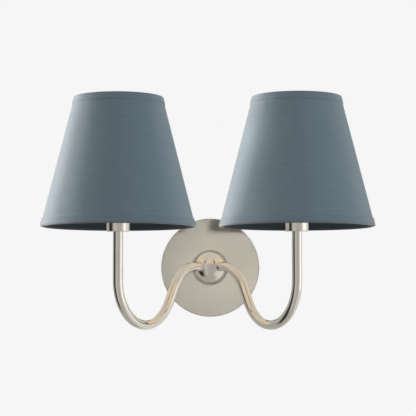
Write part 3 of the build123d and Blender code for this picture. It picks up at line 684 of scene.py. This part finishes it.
# %% Backplate, collar and ball
MM = 0.001
PLATE_EDGE = 1.4 * MM
PLATE_WALL = 1.5 * MM
STEM_HOLE = 5.1 * MM
PLATE_STEPS, COLLAR_STEPS, BALL_STEPS = 192, 128, 160
COLLAR_RINGS, BALL_RINGS = 10, 72
plate_low, plate_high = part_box("backplate")
plate_r = (plate_high.x - plate_low.x) / 2
plate_face = -plate_low.y
plate_outline = (
    [(plate_r, 0.0)]
    + arc_points((plate_r - PLATE_EDGE, plate_face - PLATE_EDGE), PLATE_EDGE, 0, 90, 8)
    + [(plate_r * 0.5, plate_face), (STEM_HOLE, plate_face), (STEM_HOLE, plate_face - PLATE_WALL)]
    + [(plate_r - PLATE_WALL, plate_face - PLATE_WALL), (plate_r - PLATE_WALL, 0.0)]
)
backplate = to_object(
    "backplate_pan", spun_mesh("backplate_pan", plate_outline, (0, 0, 0), (0, -1, 0), PLATE_STEPS),
    "satin_nickel", "root", "polished_nickel", "backplate",
)

COLLAR_FOOT_R, COLLAR_HEAD_R, COLLAR_FOOT = 15.0 * MM, 8.5 * MM, 1.2 * MM
collar_low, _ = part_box("neck_collar")
collar_top = -collar_low.y
collar_start = plate_face + COLLAR_FOOT
hollow = []
for k in range(COLLAR_RINGS + 1):
    share = k / COLLAR_RINGS
    radius = COLLAR_FOOT_R + (COLLAR_HEAD_R - COLLAR_FOOT_R) * math.sin(share * math.pi / 2)
    hollow.append((radius, collar_start + (collar_top - collar_start) * (1 - math.cos(share * math.pi / 2))))
collar_outline = [(COLLAR_FOOT_R, plate_face)] + hollow + [(STEM_HOLE, collar_top), (STEM_HOLE, plate_face)]
to_object(
    "collar", spun_mesh("collar", collar_outline, (0, 0, 0), (0, -1, 0), COLLAR_STEPS),
    "polished_nickel", "root", "polished_nickel", "neck_collar",
)

ball_low, ball_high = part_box("hub_ball")
BALL_R = (ball_high.z - ball_low.z) / 2
BALL_OUT = -ball_low.y - BALL_R
flat_angle = -math.degrees(math.asin((BALL_OUT + ball_high.y) / BALL_R))
ball_outline = arc_points((0.0, BALL_OUT), BALL_R, flat_angle, 90, BALL_RINGS)
ball_outline[-1] = (0.0, BALL_OUT + BALL_R)
ball_outline.append((0.0, -ball_high.y))
to_object(
    "ball", spun_mesh("ball", ball_outline, (0, 0, 0), (0, -1, 0), BALL_STEPS),
    "polished_nickel", "root", "polished_nickel", "hub_ball",
)
print("plate radius", round(plate_r, 4), "ball radius", round(BALL_R, 4))

# %% [markdown]
# ## Arms
# Each arm is one tube, bent in a single upright plane: a stub out of the ball, a shoulder, a slope
# and a wide bend that turns up into the riser. A piece that follows a path is a good use of
# Geometry Nodes: the tree below takes the centre line as a curve, sweeps a circle along it and
# shades it smooth, and the tube's radius and its number of sides are inputs of the modifier.

# %% Tube tree
def tube_tree():
    """Geometry Nodes: sweep a circle along the input curve."""
    tree = bpy.data.node_groups.new("tube_along_path", "GeometryNodeTree")
    tree.interface.new_socket("Path", in_out="INPUT", socket_type="NodeSocketGeometry")
    tree.interface.new_socket("Radius", in_out="INPUT", socket_type="NodeSocketFloat")
    tree.interface.new_socket("Sides", in_out="INPUT", socket_type="NodeSocketInt")
    tree.interface.new_socket("Finish", in_out="INPUT", socket_type="NodeSocketMaterial")
    tree.interface.new_socket("Tube", in_out="OUTPUT", socket_type="NodeSocketGeometry")
    start, end = tree.nodes.new("NodeGroupInput"), tree.nodes.new("NodeGroupOutput")
    profile = tree.nodes.new("GeometryNodeCurvePrimitiveCircle")
    sweep = tree.nodes.new("GeometryNodeCurveToMesh")
    realize = tree.nodes.new("GeometryNodeRealizeInstances")
    paint = tree.nodes.new("GeometryNodeSetMaterial")
    sweep.inputs["Fill Caps"].default_value = True
    links = tree.links
    links.new(start.outputs["Sides"], profile.inputs["Resolution"])
    links.new(start.outputs["Radius"], profile.inputs["Radius"])
    links.new(start.outputs["Path"], sweep.inputs["Curve"])
    links.new(profile.outputs["Curve"], sweep.inputs["Profile Curve"])
    links.new(sweep.outputs["Mesh"], realize.inputs["Geometry"])
    links.new(realize.outputs["Geometry"], paint.inputs["Geometry"])
    links.new(start.outputs["Finish"], paint.inputs["Material"])
    links.new(paint.outputs["Geometry"], end.inputs["Tube"])
    return tree


TUBE = tube_tree()


def set_inputs(modifier, **values):
    """Sets a Geometry Nodes modifier's inputs by their sockets' identifiers."""
    for item in modifier.node_group.interface.items_tree:
        if item.item_type == "SOCKET" and item.in_out == "INPUT" and item.name in values:
            modifier[item.identifier] = values[item.name]


def baked(thing, name):
    """The evaluated result of an object as a plain mesh; the object itself is removed."""
    bpy.context.view_layer.update()
    graph = bpy.context.evaluated_depsgraph_get()
    mesh = bpy.data.meshes.new_from_object(thing.evaluated_get(graph), depsgraph=graph)
    mesh.name = name
    bpy.data.objects.remove(thing)
    return mesh


def swept(name, points, radius, sides, material):
    """A tube along a list of points, made by the tree."""
    line = bpy.data.curves.new(name + "_path", "CURVE")
    line.dimensions = "3D"
    run = line.splines.new("POLY")
    run.points.add(len(points) - 1)
    for point, place in zip(run.points, points):
        point.co = (*place, 1.0)
    thing = bpy.data.objects.new(name + "_path", line)
    bpy.context.scene.collection.objects.link(thing)
    modifier = thing.modifiers.new("tube", "NODES")
    modifier.node_group = TUBE
    set_inputs(modifier, Radius=radius, Sides=sides, Finish=MATERIALS[material])
    return baked(thing, name)


# %% Arms
ARM_R = 6.5 * MM
TUBE_SIDES = 72
SHOULDER_STEPS, BEND_STEPS = 40, 90
SPLAY = math.radians(55.3)
LEAN = 30.0
ARM_START, STUB_END = 16.0 * MM, 32.0 * MM
SHOULDER_R, SLOPE, BEND_R = 57.0 * MM, 25.0 * MM, 57.5 * MM


def arm_route(top):
    """Centre line of an arm in its own plane: (distance out from the ball, height)."""
    lean = math.radians(LEAN)
    points = [(ARM_START, 0.0)]
    points += arc_points((STUB_END, -SHOULDER_R), SHOULDER_R, 90, LEAN, SHOULDER_STEPS)
    foot = (points[-1][0] + SLOPE * math.sin(lean), points[-1][1] - SLOPE * math.cos(lean))
    centre = (foot[0] + BEND_R * math.cos(lean), foot[1] + BEND_R * math.sin(lean))
    points += arc_points(centre, BEND_R, 180 + LEAN, 360, BEND_STEPS)
    points.append((points[-1][0], top))
    return points


for name, side in SIDES.items():
    _, arm_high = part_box(f"arm_{name}")
    route = [
        (side * out * math.cos(SPLAY), -BALL_OUT - out * math.sin(SPLAY), rise)
        for out, rise in arm_route(arm_high.z)
    ]
    mesh = swept(f"tube_{name}", route, ARM_R, TUBE_SIDES, "polished_nickel")
    to_object(f"tube_{name}", mesh, "polished_nickel", "root", "polished_nickel", f"arm_{name}")
    print(name, "arm ends", tuple(round(v, 4) for v in route[-1]))

# %% [markdown]
# ## Cups
# A plain turned cup stands on each riser and hides the lampholder. Its lower edge is rounded, and
# its upper edge reaches into the shade.

# %% Cups
CUP_WALL, CUP_EDGE, CUP_HOLE = 1.0 * MM, 1.8 * MM, 5.0 * MM
CUP_STEPS = 96
for name in SIDES:
    low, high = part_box(f"cup_{name}")
    radius = (high.x - low.x) / 2
    outline = (
        [(CUP_HOLE, low.z)]
        + arc_points((radius - CUP_EDGE, low.z + CUP_EDGE), CUP_EDGE, -90, 0, 8)
        + arc_points((radius - CUP_WALL / 2, high.z - CUP_WALL / 2), CUP_WALL / 2, 0, 180, 6)
        + [(radius - CUP_WALL, low.z + CUP_WALL), (CUP_HOLE, low.z + CUP_WALL)]
    )
    x, y = middle(f"cup_{name}")
    mesh = spun_mesh(f"cup_shell_{name}", outline, (x, y, 0), (0, 0, 1), CUP_STEPS)
    to_object(f"cup_shell_{name}", mesh, "polished_nickel", "root", "polished_nickel", f"cup_{name}")
print("cups stand at", round(low.z, 4))

# %% [markdown]
# ## Shades
# A fabric shade of this kind is a stiff card cone with cloth outside and a smooth lining inside.
# Cloth tape is folded round its two edges and over the wire rings. The tape stands a little proud
# of the cloth, with a rounded fold, and turns back inside the lower edge.

# %% Shades
LOW_WIDE, TOP_WIDE, SHADE_TALL = 200.0 * MM, 115.0 * MM, 167.0 * MM
TILT = math.atan((LOW_WIDE - TOP_WIDE) / 2 / SHADE_TALL)
COVER_T, LINER_T, GAP = 0.8 * MM, 0.6 * MM, 0.05 * MM
TAPE_T = 0.9 * MM
WIRE_R = 1.5 * MM
TAPE_TOP, TAPE_LOW = 9.0 * MM, 9.5 * MM
TURN_IN_TOP, TURN_IN_LOW = 5.5 * MM, 8.0 * MM
FOLD_R, TAPE_CHAMFER = 1.3 * MM, 0.3 * MM
SHADE_STEPS, WALL_LEVELS = 180, 12


def on_wall(corner, depth, up):
    """(radius, height) of a point measured out of the cover's face and up along its slope."""
    return (
        corner[0] + depth * math.cos(TILT) - up * math.sin(TILT),
        corner[1] + depth * math.sin(TILT) + up * math.cos(TILT),
    )


def tape_outline(corner, edge, run, height, turn_in):
    """Outline of a tape folded round the wall's edge and its wire; run is +1 upwards or -1 downwards."""
    wire, wire_up = -(COVER_T + LINER_T + 2 * GAP + WIRE_R), WIRE_R + GAP
    glued = -(COVER_T + LINER_T + 2 * GAP)
    out, fold = GAP + TAPE_T, -GAP - TAPE_T
    outer = [(GAP, height), (out * 0.8, height), (out, height - TAPE_CHAMFER)]
    outer += arc_points((out - FOLD_R, fold + FOLD_R), FOLD_R, 0, -90, 8)
    outer += arc_points((wire, wire_up), WIRE_R + TAPE_T, -90, -215, 12)
    outer += [(glued - 1.7 * MM, wire_up + 3.2 * MM), (glued - TAPE_T, turn_in)]
    inner = [(glued, turn_in), (glued - 0.8 * MM, wire_up + 2.9 * MM)]
    inner += arc_points((wire, wire_up), WIRE_R + GAP, -215, -90, 12)
    inner += [(GAP, -GAP)]
    return [on_wall(corner, depth, edge + run * up) for depth, up in outer + inner]


for name in SIDES:
    body = f"shade_{name}"
    low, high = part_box(f"shade_cover_{name}")
    x, y = middle(f"shade_cover_{name}")
    corner = ((high.x - low.x) / 2, low.z + COVER_T * math.sin(TILT))
    length = (high.z - corner[1]) / math.cos(TILT)
    layers = (
        ("cloth", "shade_cover", "slate_fabric", 0.0, -COVER_T),
        ("lining", "shade_liner", "shade_lining", -COVER_T - GAP, -COVER_T - GAP - LINER_T),
    )
    for piece, node, finish, out, back in layers:
        heights = [length * k / WALL_LEVELS for k in range(WALL_LEVELS + 1)]
        face = [on_wall(corner, out, up_wall) for up_wall in heights]
        rear = [on_wall(corner, back, up_wall) for up_wall in reversed(heights)]
        mesh = spun_mesh(f"{piece}_{name}", face + rear, (x, y, 0), (0, 0, 1), SHADE_STEPS)
        to_object(f"{piece}_{name}", mesh, finish, body, finish, f"{node}_{name}")
    for piece, node, edge, run, tall, turn_in in (
        ("tape_top", "shade_top_trim", length, -1, TAPE_TOP, TURN_IN_TOP),
        ("tape_low", "shade_low_trim", 0.0, 1, TAPE_LOW, TURN_IN_LOW),
    ):
        outline = tape_outline(corner, edge, run, tall, turn_in)
        mesh = spun_mesh(f"{piece}_{name}", outline, (x, y, 0), (0, 0, 1), SHADE_STEPS)
        to_object(f"{piece}_{name}", mesh, "slate_trim", body, "slate_trim", f"{node}_{name}")
print("slope of the wall", round(math.degrees(TILT), 2), "degrees, length", round(length, 4))

# %% [markdown]
# ## Screws of the rim
# Two small screws hold the backplate on its bracket, one at each side of its rim. Their domed
# heads lie almost flush, so that they hardly show from the front. Each is spun round its own axis,
# and the driver's slot is pressed into the dome.

# %% Screws of the rim
screws_low, screws_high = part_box("rim_screws")
SCREW_DEPTH = -(screws_low.y + screws_high.y) / 2
HEAD_R, HEAD_RISE, SHANK_R, SHANK = 3.4 * MM, 0.7 * MM, 1.95 * MM, 7.0 * MM
SLOT_HALF, SLOT_FLOOR = 0.45 * MM, 0.05 * MM
SCREW_STEPS, DOME_STEP = 96, 6


def rim_screw(side):
    """One screw along the X axis; the dome's middle is pressed in where the slot runs."""
    angles = [math.radians(a) for a in range(0, 90, DOME_STEP)]
    dome = [(HEAD_R * math.cos(a), HEAD_RISE * math.sin(a)) for a in angles]
    outline = dome + [(0.0, HEAD_RISE), (0.0, -SHANK), (SHANK_R, -SHANK), (SHANK_R, 0.0)]
    centre = (side * plate_r, -SCREW_DEPTH, 0)
    mesh = spun_mesh("rim_screw", outline, centre, (side, 0, 0), SCREW_STEPS)
    for vertex in mesh.vertices:
        out = side * vertex.co.x - plate_r
        if out > 1e-6 and abs(vertex.co.z) < SLOT_HALF:
            vertex.co.x = side * (plate_r + SLOT_FLOOR)
    return mesh


both_screws = bmesh.new()
for side in SIDES.values():
    both_screws.from_mesh(rim_screw(side))
screw_mesh = bpy.data.meshes.new("rim_screw_pair")
both_screws.to_mesh(screw_mesh)
both_screws.free()
to_object("rim_screw_pair", screw_mesh, "polished_nickel", "root", "polished_nickel", "rim_screws")
print("rim screws", len(screw_mesh.polygons), "faces")

# %% [markdown]
# ## Small parts from the frame
# The parts inside keep the frame's shapes. A frame mesh is loose triangles, so a merged copy is
# shaded smooth with crisp corners, gets its finish and stands in for the node.

# %% Small parts
FINISH = {
    "wall_bracket": "zinc_steel", "hub_stem": "zinc_steel", "stem_washer": "zinc_steel",
    "stem_nut": "zinc_steel", "terminal_block": "white_plastic",
    "terminal_barrels": "brass", "terminal_screws": "zinc_steel", "block_screw": "zinc_steel",
    "earth_screw": "brass", "earth_lead": "earth_insulation", "flex": "flex_sheath",
    "nipple": "zinc_steel", "holder_base": "zinc_steel", "holder_body": "phenolic",
    "screw_shell": "brass", "centre_contact": "brass", "ring_nut": "phenolic",
    "shade_carrier": "zinc_steel", "bulb_tip": "black_glass", "bulb_cap": "nickel_cap",
    "bulb_glass": "frosted_glass", "shade_low_ring": "white_wire", "shade_top_ring": "white_wire",
    "shade_spider": "white_wire",
}
WELD = 1e-6
bodies = frame["record"]["behaviour"]["bodies"]
body_of = {node: body for body, members in bodies.items() for node in members}
copied = 0
for node in sorted(nodes):
    kind = node.removesuffix("_left").removesuffix("_right")
    if kind not in FINISH:
        continue
    shape = bmesh.new()
    shape.from_mesh(nodes[node].data)
    bmesh.ops.remove_doubles(shape, verts=shape.verts, dist=WELD)
    mesh = bpy.data.meshes.new(node + "_smooth")
    shape.to_mesh(mesh)
    shape.free()
    slot = FINISH[kind]
    to_object(node + "_smooth", mesh, slot, body_of[node], slot, node)
    copied += 1
print("small parts finished:", copied)

# %% [markdown]
# ## Light for each shade
# The two shades stand side by side, so each would keep a side lamp's light off the other. In the
# photograph both have the same bright edges. Light linking gives that: of each pair of side lamps,
# one lights everything but the farther shade's cloth, and its twin lights that cloth alone and
# passes the nearer shade. The small warm lamp by the camera is for the backplate alone, where it
# draws the soft shadow of a shade's corner. So that this shadow is deep, the plate has a tent of its
# own, which is dark round the camera. The metal shows the tent and not the cloth.

# %% Link the lamps and the cloth
things_named = bpy.data.objects
CLOTH = {
    name: [things_named[f"{piece}_{name}"] for piece in ("cloth", "tape_low", "tape_top")]
    for name in SIDES
}
INSIDE = {
    name: CLOTH[name] + [things_named[f"lining_{name}"], things_named[f"shade_low_ring_{name}_smooth"]]
    for name in SIDES
}


def listed(label, things, state):
    """A collection for light linking in which each object is included or excluded."""
    group = bpy.data.collections.new(label)
    for thing in things:
        group.objects.link(thing)
    for entry in group.collection_objects:
        entry.light_linking.link_state = state
    return group


for near_lamp, far_lamp, near in side_lamps:
    far = "right" if near == "left" else "left"
    near_lamp.light_linking.receiver_collection = listed(near_lamp.name + "_not_on", CLOTH[far], "EXCLUDE")
    far_lamp.light_linking.receiver_collection = listed(far_lamp.name + "_on", CLOTH[far], "INCLUDE")
    far_lamp.light_linking.blocker_collection = listed(far_lamp.name + "_past", INSIDE[near], "EXCLUDE")
both_shades = CLOTH["left"] + CLOTH["right"]
by_camera.light_linking.receiver_collection = listed("by_camera_on", [backplate], "INCLUDE")
veil.light_linking.receiver_collection = listed("plate_tent_on", [backplate], "INCLUDE")
tent.light_linking.receiver_collection = listed("tent_not_on", [backplate], "EXCLUDE")
by_camera.light_linking.blocker_collection = listed("by_camera_shade", both_shades, "INCLUDE")
for name in SIDES:
    for thing in INSIDE[name]:
        no_rays(thing, "glossy")
print("linked", [pair[0].name for pair in side_lamps])

# %% [markdown]
# ## Finish
# The script ends with a closing print.

# %% Finish
print("script ends")
